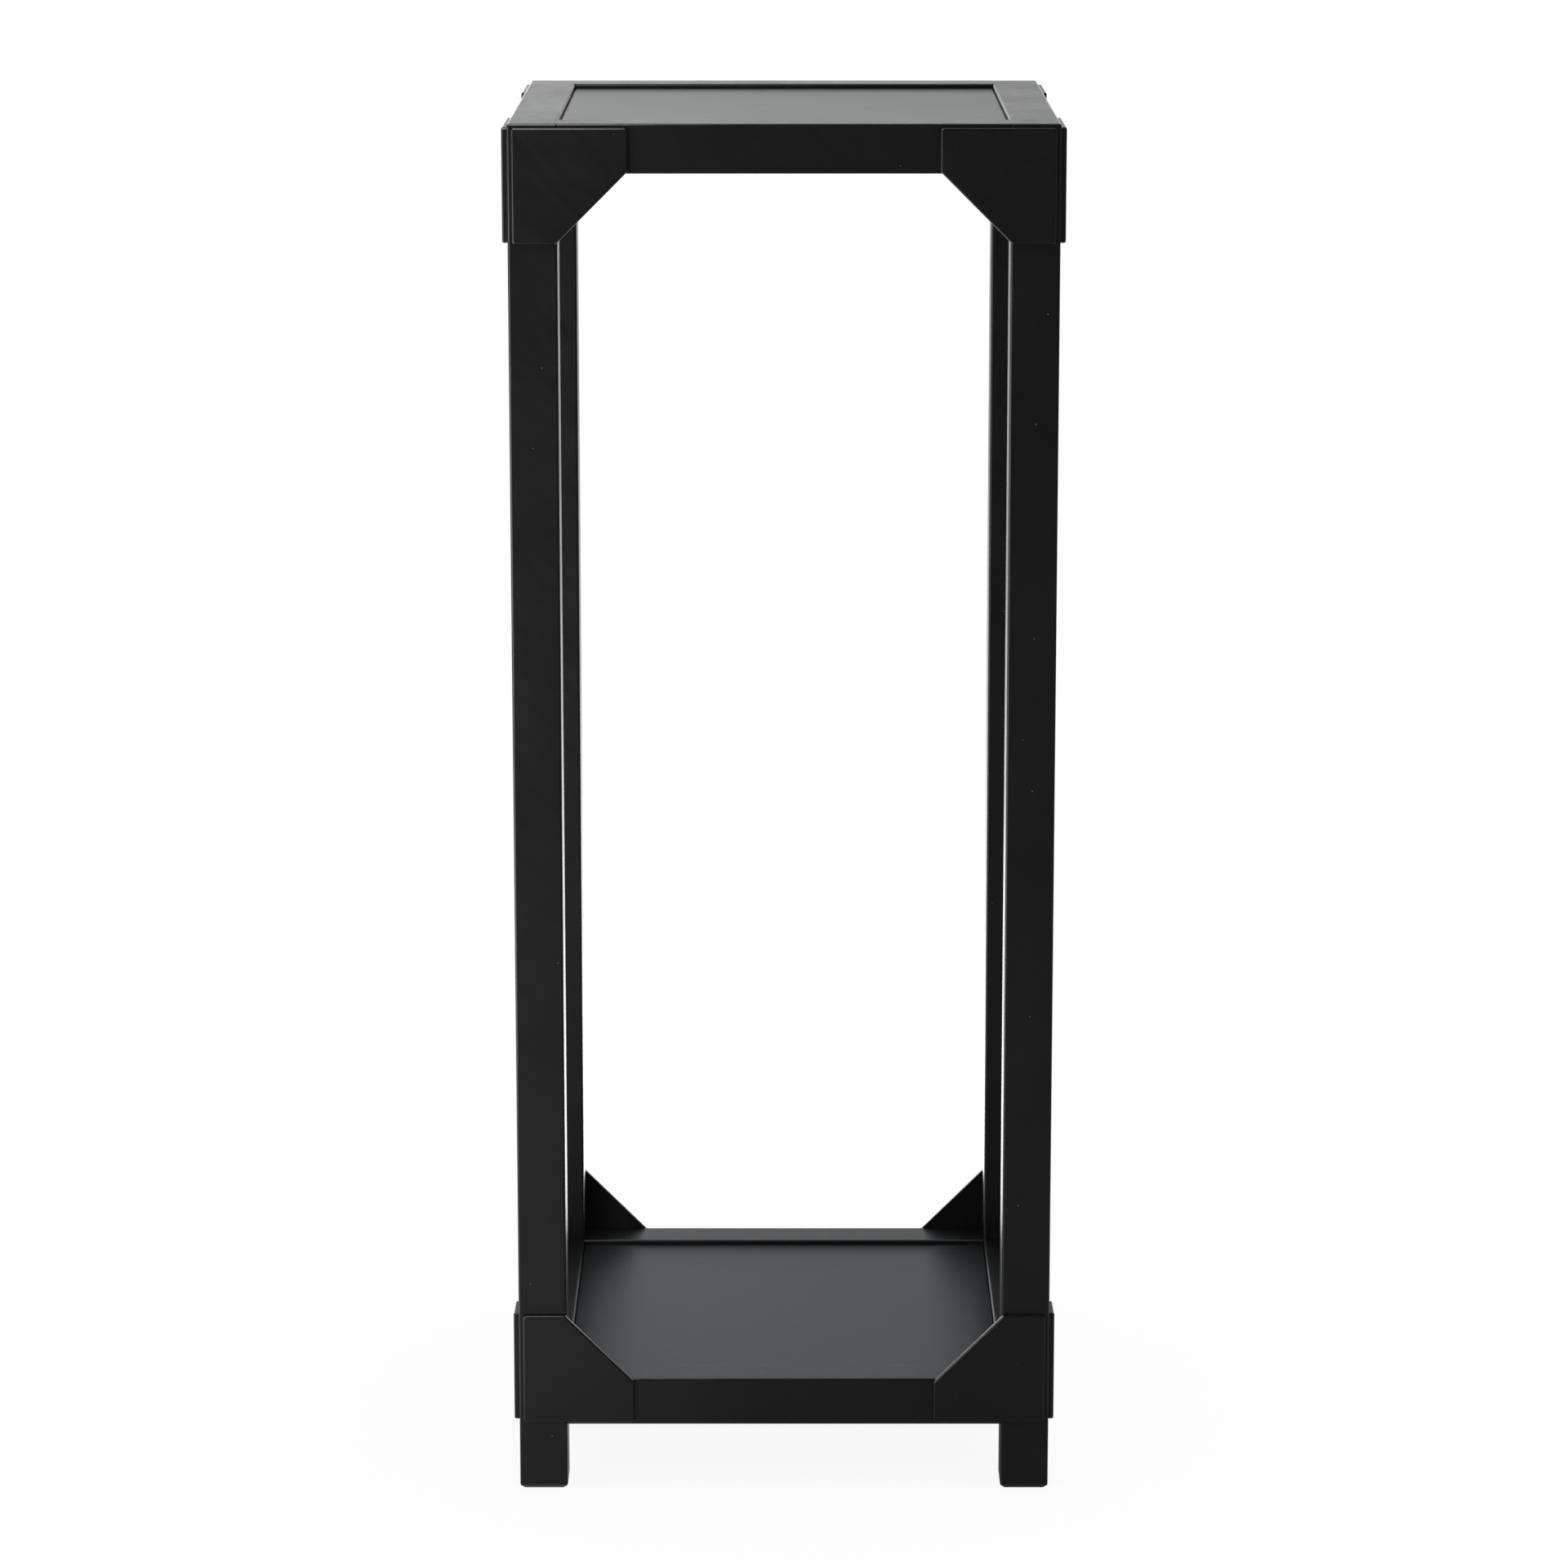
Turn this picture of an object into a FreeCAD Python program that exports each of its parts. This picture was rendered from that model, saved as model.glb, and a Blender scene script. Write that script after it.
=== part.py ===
"""Open-frame display plinth: four posts, two tiers of rails, an inset top and an inset shelf, and gussets.

Millimetres, +Z up. The origin is on the floor under the middle of the plinth, and the front faces -Y.
Each separate piece is written to its own STEP file, and identical fasteners share one file.
"""
import os

import FreeCAD, Part
from FreeCAD import Vector

# Driving dimensions
HEIGHT = 900.0            # floor to the top of the frame
FRAME_WIDTH = 349.0       # over the posts, the same in X and Y
STOCK = 31.5              # side of the square stock that posts and rails are cut from
SHELF_HEIGHT = 76.0       # floor to the top of the shelf rails
ARRIS = 1.5               # rounding on the long edges of the stock
FOOT_BEVEL = 2.5          # bevel round the bottom of each post

# Panels let into the rails
PANEL_THICKNESS = 9.0
PANEL_RECESS = 2.9        # rail top down to panel top
PANEL_GAP = 0.3           # round the panel, between it and the rails
PANEL_ARRIS = 0.8

# Corner gussets: a square plate with its inner corner cut off at 45 degrees
GUSSET_LEG = 73.0         # side of the square
GUSSET_CUT = 45.5         # leg of the corner that is cut off
GUSSET_THICKNESS = 3.5
GUSSET_SIDE_INSET = 3.0   # from the frame's vertical outer edge
GUSSET_END_INSET = 2.5    # from the top of the top rail, or the bottom of the shelf rail
GUSSET_CORNER_RADIUS = 2.0
GUSSET_ARRIS = 1.2

# Cleats that carry the panels
CLEAT_SIDE = 12.0
CLEAT_ARRIS = 0.8

# Dowels between rails and posts
DOWEL_RADIUS = 4.0
DOWEL_IN_POST = 11.0
DOWEL_IN_RAIL = 19.0
DOWEL_SPACING = 14.0      # centre to centre, one above the other
DOWEL_HOLE_SPARE = 0.5    # room for glue past each end
DOWEL_CHAMFER = 0.8

# Countersunk screws
SCREW_SHANK_RADIUS = 1.75
SCREW_HEAD_RADIUS = 3.5
SCREW_TIP = 3.0           # length of the pointed end
CLEAT_SCREW_LENGTH = 25.0
PANEL_SCREW_LENGTH = 16.0
CLEAT_SCREW_PLACES = (-95.0, 0.0, 95.0)
PANEL_SCREW_PLACES = (-50.0, 50.0)
CROSS_RECESS_LENGTH = 3.8
CROSS_RECESS_WIDTH = 0.9
CROSS_RECESS_DEPTH = 1.2

# Headless pins through the gussets, under the lacquer
PIN_RADIUS = 0.6
PIN_LENGTH = 12.0
PIN_COVER = 0.8           # filler and lacquer over the pin's outer end
PIN_REACH = 48.0          # from the corner pin to the pins along the post and the rail

# How closely edges are told apart when they are picked for rounding
NEAR = 0.01
PARALLEL = 0.999          # least cosine between an edge and the direction it runs along

# Worked out from the driving dimensions
HALF = FRAME_WIDTH / 2
INNER = HALF - STOCK      # centre to the inner faces of posts and rails
CENTRE_LINE = HALF - STOCK / 2
RAIL_LENGTH = 2 * INNER
RAIL_TOPS = {"top": HEIGHT, "shelf": SHELF_HEIGHT}

UP = Vector(0, 0, 1)
# Each side of the frame: the direction along its rail, and the direction out of its face
SIDES = {
    "front": (Vector(1, 0, 0), Vector(0, -1, 0)),
    "back": (Vector(1, 0, 0), Vector(0, 1, 0)),
    "left": (Vector(0, 1, 0), Vector(-1, 0, 0)),
    "right": (Vector(0, 1, 0), Vector(1, 0, 0)),
}
X_ENDS = {"left": -1, "right": 1}
Y_ENDS = {"front": -1, "back": 1}


def box_between(low, high):
    """A box from its lowest corner to its highest corner."""
    size = high - low
    return Part.makeBox(size.x, size.y, size.z, low)


def box_round(middle, half_size):
    """A box given by its middle and half its size along each axis."""
    reach = Vector(abs(half_size.x), abs(half_size.y), abs(half_size.z))
    return box_between(middle - reach, middle + reach)


def is_along(edge, direction):
    """True when a straight edge runs along a direction."""
    first, last = edge.firstVertex().Point, edge.lastVertex().Point
    run = last - first
    return run.Length > 0 and abs(run.dot(direction)) > PARALLEL * run.Length


def edges_where(shape, test):
    """The edges of a shape that pass a test."""
    return [edge for edge in shape.Edges if test(edge)]


def middle_of(edge):
    """The middle of an edge's box."""
    return edge.BoundBox.Center


def post(x_end, y_end):
    """One post: bevelled foot, rounded corners, and rounded top edges on its two outer sides."""
    corner = Vector(x_end * CENTRE_LINE, y_end * CENTRE_LINE, HEIGHT / 2)
    blank = box_round(corner, Vector(STOCK / 2, STOCK / 2, HEIGHT / 2))
    foot_edges = edges_where(blank, lambda edge: edge.BoundBox.ZMax < NEAR)
    blank = blank.makeChamfer(FOOT_BEVEL, foot_edges)

    def rounded(edge):
        place = middle_of(edge)
        upright = edge.BoundBox.ZLength > FOOT_BEVEL / 2
        outer_top = place.z > HEIGHT - NEAR and (
            place.x * x_end > HALF - NEAR or place.y * y_end > HALF - NEAR)
        return upright or outer_top

    return blank.makeFillet(ARRIS, edges_where(blank, rounded))


def rail(side, rail_top):
    """One rail between two posts, rounded along its four long edges."""
    along, out = SIDES[side]
    middle = out * CENTRE_LINE + UP * (rail_top - STOCK / 2)
    half_size = along * (RAIL_LENGTH / 2) + (out + UP) * (STOCK / 2)
    blank = box_round(middle, half_size)
    return blank.makeFillet(ARRIS, edges_where(blank, lambda edge: is_along(edge, along)))


def panel(rail_top):
    """One square panel, let in below the tops of its rails."""
    reach = INNER - PANEL_GAP
    top = rail_top - PANEL_RECESS
    blank = box_between(Vector(-reach, -reach, top - PANEL_THICKNESS), Vector(reach, reach, top))
    top_edges = edges_where(blank, lambda edge: edge.BoundBox.ZMin > top - NEAR)
    upright_edges = edges_where(blank, lambda edge: is_along(edge, UP))
    return blank.makeFillet(PANEL_ARRIS, top_edges + upright_edges)


def cleat_bottom(rail_top):
    """Height of the underside of a tier's cleats."""
    return rail_top - PANEL_RECESS - PANEL_THICKNESS - CLEAT_SIDE


def cleat(side, rail_top):
    """One cleat under a panel's edge; the left and right cleats fit between the front and back ones."""
    along, out = SIDES[side]
    runs_full_width = side in Y_ENDS
    half_length = INNER if runs_full_width else INNER - CLEAT_SIDE
    middle = out * (INNER - CLEAT_SIDE / 2) + UP * (cleat_bottom(rail_top) + CLEAT_SIDE / 2)
    blank = box_round(middle, along * half_length + (out + UP) * (CLEAT_SIDE / 2))

    def free_edge(edge):
        place = middle_of(edge)
        return is_along(edge, along) and place.dot(out) < middle.dot(out) and place.z < middle.z

    return blank.makeFillet(CLEAT_ARRIS, edges_where(blank, free_edge))


def gusset_point(side, end, tier, across, down):
    """A point on a side's outer face, by its distances in from a gusset's outer corner.

    across runs in along the rail, and down runs along the post towards the middle of its height.
    """
    along, out = SIDES[side]
    start, towards = (HEIGHT - GUSSET_END_INSET, -1)
    if tier == "shelf":
        start, towards = (SHELF_HEIGHT - STOCK + GUSSET_END_INSET, 1)
    sideways = end * (HALF - GUSSET_SIDE_INSET - across)
    return out * HALF + along * sideways + UP * (start + towards * down)


def gusset(side, end, tier):
    """One corner plate on the outside of the frame, rounded round its outline and its outer face."""
    out = SIDES[side][1]
    short_end = GUSSET_LEG - GUSSET_CUT
    outline = [(0, 0), (GUSSET_LEG, 0), (GUSSET_LEG, short_end), (short_end, GUSSET_LEG), (0, GUSSET_LEG)]
    corners = [gusset_point(side, end, tier, across, down) for across, down in outline]
    face = Part.Face(Part.makePolygon(corners + corners[:1]))
    plate = face.extrude(out * GUSSET_THICKNESS)
    plate = plate.makeFillet(GUSSET_CORNER_RADIUS, edges_where(plate, lambda edge: is_along(edge, out)))

    def on_outer_face(edge):
        return middle_of(edge).dot(out) > HALF + GUSSET_THICKNESS - NEAR

    return plate.makeFillet(GUSSET_ARRIS, edges_where(plate, on_outer_face))


def gusset_pins(side, end, tier):
    """The three pins of one gusset: at its corner, along the post and along the rail."""
    out = SIDES[side][1]
    on_post = STOCK / 2 - GUSSET_SIDE_INSET
    on_rail = STOCK / 2 - GUSSET_END_INSET
    places = [(on_post, on_rail), (on_post, on_rail + PIN_REACH), (on_post + PIN_REACH, on_rail)]
    lift = out * (GUSSET_THICKNESS - PIN_COVER)
    starts = [gusset_point(side, end, tier, across, down) + lift for across, down in places]
    return [Part.makeCylinder(PIN_RADIUS, PIN_LENGTH, start, out * -1) for start in starts]


def rail_dowels(side, rail_top, spare=0.0):
    """The four dowels of one rail, two at each end; spare lengthens them into the holes that take them."""
    along, out = SIDES[side]
    length = DOWEL_IN_POST + DOWEL_IN_RAIL + 2 * spare
    dowels = []
    for end in (-1, 1):
        for step in (-DOWEL_SPACING / 2, DOWEL_SPACING / 2):
            level = rail_top - STOCK / 2 + step
            start = out * CENTRE_LINE + along * (end * (INNER + DOWEL_IN_POST + spare)) + UP * level
            dowel = Part.makeCylinder(DOWEL_RADIUS, length, start, along * -end)
            if not spare:
                dowel = dowel.makeChamfer(DOWEL_CHAMFER, edges_where(dowel, lambda edge: edge.Closed))
            dowels.append(dowel)
    return dowels


def screw_blank(start, direction, length):
    """A countersunk screw with no drive recess, head flush at start and point along direction."""
    cone_length = SCREW_HEAD_RADIUS - SCREW_SHANK_RADIUS
    half_outline = [
        Vector(0, 0, 0),
        Vector(SCREW_HEAD_RADIUS, 0, 0),
        Vector(SCREW_SHANK_RADIUS, 0, cone_length),
        Vector(SCREW_SHANK_RADIUS, 0, length - SCREW_TIP),
        Vector(0, 0, length),
        Vector(0, 0, 0),
    ]
    blank = Part.Face(Part.makePolygon(half_outline)).revolve(Vector(0, 0, 0), UP, 360)
    blank.Placement = FreeCAD.Placement(start, FreeCAD.Rotation(UP, direction))
    return blank


def screw(start, direction, length):
    """A countersunk screw with a cross recess in its head."""
    reach = CROSS_RECESS_LENGTH / 2
    half_width = CROSS_RECESS_WIDTH / 2
    bars = [
        box_between(Vector(-reach, -half_width, 0), Vector(reach, half_width, CROSS_RECESS_DEPTH)),
        box_between(Vector(-half_width, -reach, 0), Vector(half_width, reach, CROSS_RECESS_DEPTH)),
    ]
    cross = bars[0].fuse(bars[1])
    cross.Placement = FreeCAD.Placement(start, FreeCAD.Rotation(UP, direction))
    return screw_blank(start, direction, length).cut(cross)


def cleat_screws(side, rail_top, make):
    """Screws through one cleat into its rail."""
    along, out = SIDES[side]
    level = UP * (cleat_bottom(rail_top) + CLEAT_SIDE / 2)
    starts = [out * (INNER - CLEAT_SIDE) + along * place + level for place in CLEAT_SCREW_PLACES]
    return [make(start, out, CLEAT_SCREW_LENGTH) for start in starts]


def panel_screws(side, rail_top, make):
    """Screws up through one cleat into the panel above it."""
    along, out = SIDES[side]
    level = UP * cleat_bottom(rail_top)
    starts = [out * (INNER - CLEAT_SIDE / 2) + along * place + level for place in PANEL_SCREW_PLACES]
    return [make(start, UP, PANEL_SCREW_LENGTH) for start in starts]


def gusset_places():
    """Every gusset's side, end of that side, and tier, with the name of the end."""
    for side in SIDES:
        ends = X_ENDS if side in Y_ENDS else Y_ENDS
        for tier in RAIL_TOPS:
            for end_name, end in ends.items():
                yield side, end_name, end, tier


def wooden_parts():
    """Every wooden piece before its holes are made, by name."""
    parts = {}
    for y_name, y_end in Y_ENDS.items():
        for x_name, x_end in X_ENDS.items():
            parts[f"post_{y_name}_{x_name}"] = post(x_end, y_end)
    for tier, rail_top in RAIL_TOPS.items():
        parts[f"{tier}_panel"] = panel(rail_top)
        for side in SIDES:
            parts[f"{tier}_rail_{side}"] = rail(side, rail_top)
            parts[f"{tier}_cleat_{side}"] = cleat(side, rail_top)
    for side, end_name, end, tier in gusset_places():
        parts[f"{tier}_gusset_{side}_{end_name}"] = gusset(side, end, tier)
    return parts


def fasteners():
    """Every group of identical fasteners, by name."""
    tiers_and_sides = [(side, rail_top) for rail_top in RAIL_TOPS.values() for side in SIDES]
    return {
        "rail_dowels": [one for place in tiers_and_sides for one in rail_dowels(*place)],
        "cleat_screws": [one for place in tiers_and_sides for one in cleat_screws(*place, screw)],
        "panel_screws": [one for place in tiers_and_sides for one in panel_screws(*place, screw)],
        "gusset_pins": [
            one for side, _, end, tier in gusset_places() for one in gusset_pins(side, end, tier)],
    }


def hole_fillers(groups):
    """The solids that are cut out of the wood to make its holes."""
    tiers_and_sides = [(side, rail_top) for rail_top in RAIL_TOPS.values() for side in SIDES]
    holes = list(groups["gusset_pins"])
    for place in tiers_and_sides:
        holes += rail_dowels(*place, spare=DOWEL_HOLE_SPARE)
        holes += cleat_screws(*place, screw_blank)
        holes += panel_screws(*place, screw_blank)
    return holes


def with_holes(piece, holes):
    """The piece with every hole that reaches it."""
    reached = [hole for hole in holes if hole.BoundBox.intersect(piece.BoundBox)]
    if not reached:
        return piece
    return piece.cut(reached)


def write_step(name, solids):
    """Write one node's solids to its file."""
    shape = solids[0] if len(solids) == 1 else Part.makeCompound(solids)
    shape.exportStep(f"parts/{name}.step")


def main():
    os.makedirs("parts", exist_ok=True)
    groups = fasteners()
    holes = hole_fillers(groups)
    for name, piece in wooden_parts().items():
        write_step(name, with_holes(piece, holes).Solids)
    for name, solids in groups.items():
        write_step(name, [solid for shape in solids for solid in shape.Solids])


main()
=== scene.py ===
"""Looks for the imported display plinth: satin black lacquer over wood, a pale studio floor and soft light."""

import math

import bpy
from mathutils import Euler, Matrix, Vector


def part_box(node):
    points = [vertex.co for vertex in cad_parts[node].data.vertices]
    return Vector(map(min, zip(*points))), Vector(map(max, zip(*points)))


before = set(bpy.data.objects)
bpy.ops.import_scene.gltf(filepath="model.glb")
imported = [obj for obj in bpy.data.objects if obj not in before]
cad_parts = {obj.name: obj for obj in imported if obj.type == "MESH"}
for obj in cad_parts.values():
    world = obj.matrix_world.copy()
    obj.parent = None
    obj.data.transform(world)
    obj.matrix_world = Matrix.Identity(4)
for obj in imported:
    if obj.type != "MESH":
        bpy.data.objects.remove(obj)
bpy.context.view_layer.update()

MM = 0.001
AXES = {"x": 0, "y": 1, "z": 2}

# Width of the frame over its posts, without the gussets
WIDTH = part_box("post_back_right")[1].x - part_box("post_front_left")[0].x

# Nearly all of a noise texture falls between these two values
NOISE_LOW = 0.3
NOISE_HIGH = 0.7

# The black lacquer
BLACK = 0.0044
BLACK_TINT = (0.96, 1.02, 1.01)
FLAT_SPECULAR = 0.25
HANDLED_SPECULAR = 0.3
ORANGE_PEEL_DEPTH = 0.0035 * MM
SPECK_HEIGHT = 0.12 * MM
SPECK_GREY = 0.09
SCUFF_GREY = 0.03
SCUFF_ROUGHNESS = 0.12    # how much rougher a scuff is than the face round it

# The camera, in plinth widths from the point on the floor under the plinth's middle
CAMERA_BACK = 10.286
CAMERA_UP = 3.4171
CAMERA_PITCH = math.radians(-11.8416)
# The lens and the sensor's width, in millimetres
CAMERA_LENS = 124.43
CAMERA_SENSOR = 36.0

# The floor and the backdrop as they are seen directly: plain and white
ROOM_LEVEL = 1.07
FLOOR_WHITE = 0.93
SHADOW_FILL = 0.92        # how much the floor's own shadows are filled in
FLOOR_REACH = 60.0        # metres from the middle to each edge

# The same as the lacquer mirrors them, as (position, level) stops of smooth curves.
# Round the compass, 0 and 1 are the front, 0.25 the left, 0.5 the back and 0.75 the right.
# On the mirrored floor these levels are painted light: a painted glow, brightest behind and to the left, dim
# in front
FLOOR_PAINTED_AROUND = [
    (0.0, 0.25), (0.05, 0.6), (0.12, 0.8), (0.25, 1.6), (0.5, 2.8), (0.75, 0.45), (0.95, 0.25), (1.0, 0.25)]
BACKDROP_AROUND = [
    (0.0, 0.05), (0.25, 1.3), (0.45, 1.34), (0.486, 1.34), (0.5, 1.05), (0.512, 0.94), (0.55, 0.7),
    (0.75, 0.3), (1.0, 0.05)]
# Outward over the floor, 0 is the plinth's middle and 1 is at the pool's radius; low near the middle as
# painted shadow of the plinth, then a painted pool of light that fades outwards
FLOOR_PAINTED_OUTWARD = [(0.0, 0.35), (0.07, 0.75), (0.12, 1.25), (0.2, 1.4), (0.35, 1.2), (0.7, 0.6), (1.0, 0.4)]
FLOOR_POOL = 4.0          # metres
# Up the backdrop, 0 is level and 1 is straight up
BACKDROP_UPWARD = [
    (0.0, 1.6), (0.07, 1.87), (0.12, 1.38), (0.25, 0.5), (0.33, 0.34), (0.45, 0.34), (0.7, 1.2), (1.0, 1.6)]
COOL_FROM, COOL_TO = 0.18, 0.4        # where it turns from plain white to cool white, on the same scale
COOL_WHITE = (0.95, 1.0, 1.06, 1.0)

# Softboxes that only the lacquer mirrors, in metres: name, place, aim, size, surface brightness
SOFTBOXES = [
    ("key_top", (-0.28, -0.42, 1.33), (-0.2, -0.17, 0.9), (0.32, 0.35), 14.5),
    ("left_tall", (-0.84, -0.77, 0.35), (-0.17, -0.17, 0.35), (0.8, 0.9), 6.6),
    ("rim_left", (-1.6, 3.2, 1.8), (0.0, 0.0, 0.9), (1.6, 1.2), 1.0),
]


# ---------------------------------------------------------------------------
# Node helpers
# ---------------------------------------------------------------------------

class Graph:
    """A node tree with short calls for adding nodes and feeding their inputs."""

    def __init__(self, tree):
        self.tree = tree
        tree.nodes.clear()

    def add(self, kind, feeds=None, **settings):
        """Add a node, set its properties, and feed its inputs with values or other nodes' sockets."""
        node = self.tree.nodes.new(kind)
        for name, value in settings.items():
            setattr(node, name, value)
        for name, source in (feeds or {}).items():
            self.feed(node.inputs[name], source)
        return node

    def feed(self, socket, source):
        """Link a socket to another one, or set its value."""
        if isinstance(source, bpy.types.NodeSocket):
            self.tree.links.new(source, socket)
        else:
            socket.default_value = source

    def math(self, operation, first, second=0.0, third=0.0):
        feeds = {0: first, 1: second, 2: third}
        return self.add("ShaderNodeMath", feeds, operation=operation).outputs[0]

    def vector_math(self, operation, first, second=(0.0, 0.0, 0.0)):
        return self.add("ShaderNodeVectorMath", {0: first, 1: second}, operation=operation).outputs[0]

    def split(self, vector):
        """The X, Y and Z of a vector."""
        return self.add("ShaderNodeSeparateXYZ", {"Vector": vector}).outputs

    def spread(self, value, low, high, new_low, new_high):
        """Map a value from one range to another, held at the ends."""
        feeds = {"Value": value, "From Min": low, "From Max": high, "To Min": new_low, "To Max": new_high}
        return self.add("ShaderNodeMapRange", feeds, clamp=True).outputs["Result"]

    def spread_noise(self, noise, new_low, new_high):
        """Map a noise over its whole usual range."""
        return self.spread(noise, NOISE_LOW, NOISE_HIGH, new_low, new_high)

    def noise(self, place, scale, detail=2.0, roughness=0.5):
        feeds = {"Vector": place, "Scale": scale, "Detail": detail, "Roughness": roughness}
        return self.add("ShaderNodeTexNoise", feeds).outputs["Fac"]

    def drawn_out(self, place, axis, across, along):
        """Noise drawn out along one axis; across and along are its scales per metre."""
        scale = [across] * 3
        scale[axis] = along
        stretched = self.add("ShaderNodeMapping", {"Vector": place, "Scale": scale}).outputs["Vector"]
        return self.noise(stretched, 1.0, detail=3.0)

    def mix_colour(self, share, first, second):
        """Mix two colours; the node has sockets of the same names for other data, so these go by number."""
        node = self.add("ShaderNodeMix", data_type="RGBA")
        self.feed(node.inputs["Factor"], share)
        self.feed(node.inputs[6], first)
        self.feed(node.inputs[7], second)
        return node.outputs[2]

    def curve(self, place, stops):
        """A smooth curve through (position, level) stops."""
        node = self.add("ShaderNodeValToRGB", {"Fac": place})
        node.color_ramp.interpolation = "EASE"
        points = node.color_ramp.elements
        while len(points) < len(stops):
            points.new(1.0)
        for point, (position, level) in zip(points, stops):
            point.position = position
            point.color = grey(level)
        return node.outputs["Color"]

    def bumps(self, height):
        """A normal for a height in metres."""
        feeds = {"Strength": 1.0, "Distance": 1.0, "Height": height}
        return self.add("ShaderNodeBump", feeds).outputs["Normal"]


def new_material(name):
    """An empty node material, its graph, and the plinth's own coordinates in metres."""
    material = bpy.data.materials.new(name)
    material.use_nodes = True
    graph = Graph(material.node_tree)
    place = graph.add("ShaderNodeTexCoord").outputs["Object"]
    return material, graph, place


def grey(value, tint=(1.0, 1.0, 1.0)):
    return (value * tint[0], value * tint[1], value * tint[2], 1.0)


# ---------------------------------------------------------------------------
# Lacquer
# ---------------------------------------------------------------------------

def dust_specks(graph, place):
    """A mask of rare ragged specks caught in the lacquer."""
    cells_per_metre = 150.0
    share_of_cells = 0.09
    smallest = 0.2 * MM * cells_per_metre
    largest = 0.6 * MM * cells_per_metre
    ragged = graph.add("ShaderNodeTexNoise", {"Vector": place, "Scale": 2500.0}).outputs["Color"]
    shift = graph.vector_math("MULTIPLY", ragged, (0.4 * MM, 0.4 * MM, 0.4 * MM))
    spot = graph.vector_math("ADD", place, shift)
    cells = graph.add("ShaderNodeTexVoronoi", {"Vector": spot, "Scale": cells_per_metre}, feature="F1")
    lots = graph.add("ShaderNodeSeparateColor", {"Color": cells.outputs["Color"]}).outputs
    radius = graph.spread(lots[1], 0.0, 1.0, smallest, largest)
    past_rim = graph.math("SUBTRACT", cells.outputs["Distance"], radius)
    dot = graph.spread(past_rim, -smallest, 0.0, 1.0, 0.0)
    return graph.math("MULTIPLY", dot, graph.math("LESS_THAN", lots[0], share_of_cells))


def scuff_marks(graph, place, axis):
    """A mask of a few hairline marks that run along one axis, in patches."""
    line = graph.spread(graph.drawn_out(place, axis, across=900.0, along=30.0), 0.72, 0.76, 0.0, 1.0)
    patch = graph.spread(graph.noise(place, 22.0), 0.56, 0.64, 0.0, 1.0)
    return graph.math("MULTIPLY", line, patch)


def wiping_streaks(graph, place):
    """Soft streaks left by wiping the lacquer down at a slant, from 0 to 1."""
    slant = (0.0, math.radians(45.0), 0.0)
    turned = graph.add("ShaderNodeMapping", {"Vector": place, "Rotation": slant}).outputs["Vector"]
    return graph.drawn_out(turned, AXES["z"], across=160.0, along=35.0)


def ply_lines(graph, place):
    """Ridges of thin plywood's layers, which show only on the edges of the plates outside the frame."""
    layer = 1.17 * MM
    apart = graph.split(graph.vector_math("ABSOLUTE", place))
    depth = graph.math("SUBTRACT", graph.math("MAXIMUM", apart["X"], apart["Y"]), WIDTH / 2)
    return graph.math("SINE", graph.math("MULTIPLY", depth, 2.0 * math.pi / layer))


def handled_arrises(graph, place):
    """1 on the rounded arrises that face away from the plinth's middle, 0 elsewhere."""
    flat = math.cos(math.radians(5.7))
    turned = math.cos(math.radians(16.3))
    facing = graph.add("ShaderNodeNewGeometry").outputs["Normal"]
    apart = graph.split(graph.vector_math("ABSOLUTE", facing))
    squarest = graph.math("MAXIMUM", graph.math("MAXIMUM", apart["X"], apart["Y"]), apart["Z"])
    rounded = graph.spread(squarest, flat, turned, 0.0, 1.0)
    # Facing times place is below nought where a surface faces inwards
    outward = graph.split(graph.vector_math("MULTIPLY", facing, place))
    least = graph.math("MINIMUM", outward["X"], outward["Y"])
    return graph.math("MULTIPLY", rounded, graph.spread(least, -12 * MM, -4 * MM, 0.0, 1.0))


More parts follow.
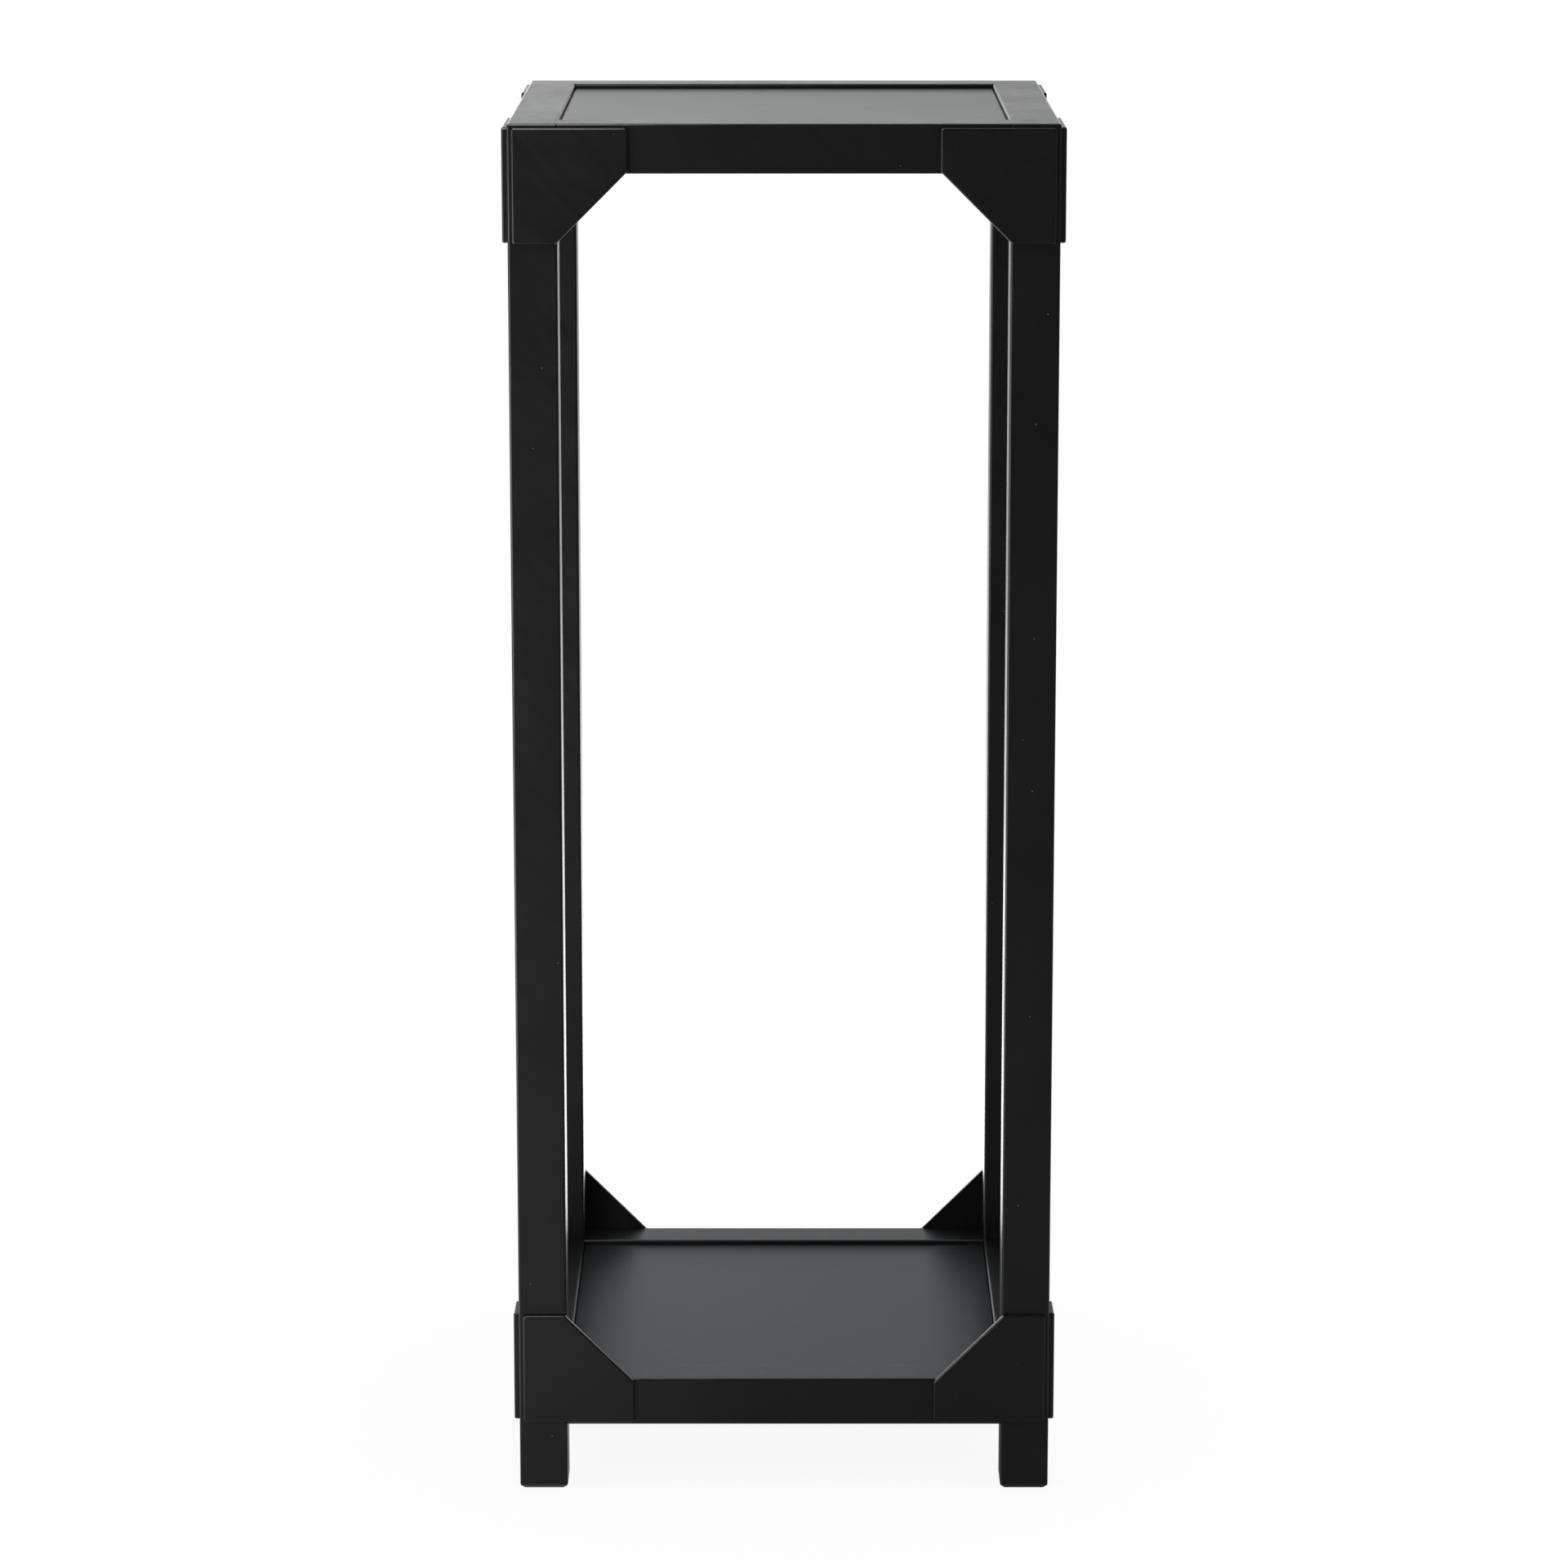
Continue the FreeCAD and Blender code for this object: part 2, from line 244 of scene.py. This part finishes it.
def lacquer(name, grain_axis, roughness=0.34, grain_depth=0.006 * MM, wave_depth=0.02 * MM,
            polish=0.1, cloudiness=0.02, ply_depth=0.0):
    """Satin black lacquer over wood whose grain runs along one axis.

    grain_depth is how far the grain shows through, wave_depth is the slow unevenness of the face,
    polish is how much less rough handling has made the arrises, cloudiness is how far the
    roughness strays from place to place, and ply_depth is how far plywood's layers show on cut edges.
    """
    material, graph, place = new_material(name)
    axis = AXES[grain_axis]
    grain = graph.drawn_out(place, axis, across=420.0, along=9.0)
    pores = graph.spread(graph.drawn_out(place, axis, across=1500.0, along=60.0), 0.30, 0.40, -1.0, 0.0)
    wave = graph.drawn_out(place, axis, across=34.0, along=9.0)
    orange_peel = graph.noise(place, 700.0, detail=1.0)
    mottle = graph.noise(place, 14.0, detail=4.0)
    specks = dust_specks(graph, place)
    scuffs = scuff_marks(graph, place, axis)
    handled = handled_arrises(graph, place)

    height = graph.math("MULTIPLY", grain, grain_depth)
    height = graph.math("MULTIPLY_ADD", pores, grain_depth / 2, height)
    height = graph.math("MULTIPLY_ADD", wave, wave_depth, height)
    height = graph.math("MULTIPLY_ADD", orange_peel, ORANGE_PEEL_DEPTH, height)
    height = graph.math("MULTIPLY_ADD", specks, SPECK_HEIGHT, height)
    if ply_depth:
        height = graph.math("MULTIPLY_ADD", ply_lines(graph, place), ply_depth, height)

    rough = graph.spread_noise(mottle, roughness - cloudiness, roughness + cloudiness)
    streaks = graph.spread_noise(wiping_streaks(graph, place), -cloudiness, cloudiness)
    rough = graph.math("ADD", rough, streaks)
    rough = graph.math("MULTIPLY_ADD", scuffs, SCUFF_ROUGHNESS, rough)
    rough = graph.math("MULTIPLY_ADD", handled, -polish, rough)

    colour = graph.mix_colour(mottle, grey(BLACK * 0.7, BLACK_TINT), grey(BLACK * 1.3, BLACK_TINT))
    colour = graph.mix_colour(graph.math("MULTIPLY", specks, 0.8), colour, grey(SPECK_GREY))
    colour = graph.mix_colour(graph.math("MULTIPLY", scuffs, 0.35), colour, grey(SCUFF_GREY))

    shader = graph.add("ShaderNodeBsdfPrincipled", {
        "Base Color": colour,
        "Roughness": rough,
        "Specular IOR Level": graph.spread(handled, 0.0, 1.0, FLAT_SPECULAR, HANDLED_SPECULAR),
        "Normal": graph.bumps(height),
    })
    graph.add("ShaderNodeOutputMaterial", {"Surface": shader.outputs[0]})
    return material


# ---------------------------------------------------------------------------
# Bare wood and metal
# ---------------------------------------------------------------------------

def raw_beech(name):
    """Pale beech with fine fibres and short dark flecks."""
    pale = (0.70, 0.52, 0.34, 1.0)
    brown = (0.50, 0.34, 0.20, 1.0)
    fleck_brown = (0.30, 0.18, 0.10, 1.0)
    material, graph, place = new_material(name)
    fibres = graph.noise(place, 900.0, detail=4.0, roughness=0.6)
    flecks = graph.spread(graph.noise(place, 1600.0, detail=1.0), 0.62, 0.70, 0.0, 0.5)
    shader = graph.add("ShaderNodeBsdfPrincipled", {
        "Base Color": graph.mix_colour(flecks, graph.mix_colour(fibres, brown, pale), fleck_brown),
        "Roughness": graph.spread_noise(fibres, 0.55, 0.72),
        "Normal": graph.bumps(graph.math("MULTIPLY", fibres, 0.03 * MM)),
    })
    graph.add("ShaderNodeOutputMaterial", {"Surface": shader.outputs[0]})
    return material


def metal(name, dark, light, smooth, rough, grain_depth):
    """Metal mottled between two greys and two roughnesses, with a fine uneven surface."""
    material, graph, place = new_material(name)
    cloud = graph.noise(place, 700.0, detail=3.0)
    fine = graph.noise(place, 5000.0, detail=2.0)
    shader = graph.add("ShaderNodeBsdfPrincipled", {
        "Base Color": graph.mix_colour(cloud, grey(dark), grey(light)),
        "Metallic": 1.0,
        "Roughness": graph.spread_noise(cloud, smooth, rough),
        "Normal": graph.bumps(graph.math("MULTIPLY", fine, grain_depth)),
    })
    graph.add("ShaderNodeOutputMaterial", {"Surface": shader.outputs[0]})
    return material


def dress_nodes():
    """Give every CAD node its material; the wood's grain runs along each piece."""
    stock = {axis: lacquer(f"frame_lacquer_{axis}", axis) for axis in AXES}
    cleats = {
        axis: lacquer(f"cleat_lacquer_{axis}", axis, roughness=0.48, grain_depth=0.03 * MM, polish=0.05)
        for axis in "xy"}
    gussets = lacquer(
        "gusset_lacquer", "z", grain_depth=0.012 * MM, wave_depth=0.03 * MM, cloudiness=0.03,
        ply_depth=0.02 * MM)
    boards = lacquer(
        "panel_lacquer", "x", grain_depth=0.003 * MM, wave_depth=0.008 * MM, cloudiness=0.006, polish=0.0)
    black_steel = metal(
        "screw_steel", dark=0.02, light=0.05, smooth=0.38, rough=0.55, grain_depth=0.006 * MM)
    bright_wire = metal(
        "pin_steel", dark=0.42, light=0.62, smooth=0.22, rough=0.34, grain_depth=0.002 * MM)
    fixings = {
        "rail_dowels": raw_beech("dowel_beech"),
        "cleat_screws": black_steel,
        "panel_screws": black_steel,
        "gusset_pins": bright_wire,
    }
    for name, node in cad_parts.items():
        runs_along = "x" if name.endswith(("front", "back")) else "y"
        if name in fixings:
            material = fixings[name]
        elif name.startswith("post_"):
            material = stock["z"]
        elif name.endswith("_panel"):
            material = boards
        elif "_gusset_" in name:
            material = gussets
        elif "_cleat_" in name:
            material = cleats[runs_along]
        else:
            material = stock[runs_along]
        node.data.materials.clear()
        node.data.materials.append(material)


# ---------------------------------------------------------------------------
# Stage, light and camera
# ---------------------------------------------------------------------------

def bearing(graph, vector):
    """Which way a vector points on the compass: 0 and 1 front, 0.25 left, 0.5 back, 0.75 right."""
    parts = graph.split(vector)
    turn = graph.math("ARCTAN2", parts["X"], parts["Y"])
    return graph.spread(turn, -math.pi, math.pi, 0.0, 1.0)


def is_mirrored(graph):
    """1 where a surface is seen as a reflection in the lacquer, 0 where it's seen directly."""
    return graph.add("ShaderNodeLightPath").outputs["Is Glossy Ray"]


def add_floor():
    """A wide pale floor. In the lacquer's reflections it shows a painted glow, brighter on some sides than on
    others, with painted shadow of the plinth near its middle.
    """
    mesh = bpy.data.meshes.new("studio_floor")
    corners = [(x * FLOOR_REACH, y * FLOOR_REACH, 0.0) for x, y in ((-1, -1), (1, -1), (1, 1), (-1, 1))]
    mesh.from_pydata(corners, [], [(0, 1, 2, 3)])
    floor = bpy.data.objects.new("studio_floor", mesh)
    bpy.context.scene.collection.objects.link(floor)

    material, graph, place = new_material("studio_floor")
    distance = graph.add("ShaderNodeVectorMath", {0: place}, operation="LENGTH").outputs["Value"]
    # Seen only in reflections, the floor glows with painted light: a painted pool round the plinth, painted
    # shadow under it, brighter behind and to the left
    outward = graph.curve(graph.spread(distance, 0.0, FLOOR_POOL, 0.0, 1.0), FLOOR_PAINTED_OUTWARD)
    around = graph.curve(bearing(graph, place), FLOOR_PAINTED_AROUND)
    painted_glow = graph.add("ShaderNodeEmission", {"Color": graph.math("MULTIPLY", around, outward)}).outputs[0]
    lit = graph.add("ShaderNodeBsdfDiffuse", {"Color": grey(FLOOR_WHITE)}).outputs[0]
    white = graph.add("ShaderNodeEmission", {"Color": grey(1.0)}).outputs[0]
    seen = graph.add("ShaderNodeMixShader", {0: SHADOW_FILL, 1: lit, 2: white}).outputs[0]
    shader = graph.add("ShaderNodeMixShader", {0: is_mirrored(graph), 1: seen, 2: painted_glow})
    graph.add("ShaderNodeOutputMaterial", {"Surface": shader.outputs[0]})
    mesh.materials.append(material)


def set_world():
    """White all round for the floor, and a backdrop with bright and dim sides for the lacquer."""
    world = bpy.data.worlds.new("studio")
    bpy.context.scene.world = world
    world.use_nodes = True
    graph = Graph(world.node_tree)
    away = graph.add("ShaderNodeTexCoord").outputs["Generated"]
    height = graph.split(away)["Z"]
    mirrored = is_mirrored(graph)
    around = graph.curve(bearing(graph, away), BACKDROP_AROUND)
    level = graph.math("MULTIPLY", around, graph.curve(height, BACKDROP_UPWARD))
    level = graph.spread(mirrored, 0.0, 1.0, ROOM_LEVEL, level)
    cool = graph.math("MULTIPLY", graph.spread(height, COOL_FROM, COOL_TO, 0.0, 1.0), mirrored)
    colour = graph.mix_colour(cool, grey(1.0), COOL_WHITE)
    shader = graph.add("ShaderNodeBackground", {"Color": colour, "Strength": level})
    graph.add("ShaderNodeOutputWorld", {"Surface": shader.outputs[0]})


def add_softbox(name, place, aim, size, brightness):
    """A rectangular area light at a place, facing a point, that lights only by being mirrored."""
    light = bpy.data.lights.new(name, "AREA")
    light.shape = "RECTANGLE"
    light.size, light.size_y = size
    # The power of a flat lamp is its brightness times its area times pi
    light.energy = brightness * size[0] * size[1] * math.pi
    lamp = bpy.data.objects.new(name, light)
    lamp.location = place
    lamp.rotation_euler = (Vector(aim) - Vector(place)).to_track_quat("-Z", "Y").to_euler()
    lamp.visible_diffuse = False
    bpy.context.scene.collection.objects.link(lamp)


def add_camera():
    """A long lens in front of the plinth, above it and tilted down."""
    data = bpy.data.cameras.new("camera")
    data.sensor_width = CAMERA_SENSOR
    data.lens = CAMERA_LENS
    data.clip_end = 4 * FLOOR_REACH
    camera = bpy.data.objects.new("camera", data)
    camera.location = (0.0, -CAMERA_BACK * WIDTH, CAMERA_UP * WIDTH)
    camera.rotation_euler = Euler((math.radians(90) + CAMERA_PITCH, 0.0, 0.0))
    bpy.context.scene.collection.objects.link(camera)
    bpy.context.scene.camera = camera


dress_nodes()
add_floor()
set_world()
for softbox in SOFTBOXES:
    add_softbox(*softbox)
add_camera()
bpy.context.scene.view_settings.view_transform = "Standard"
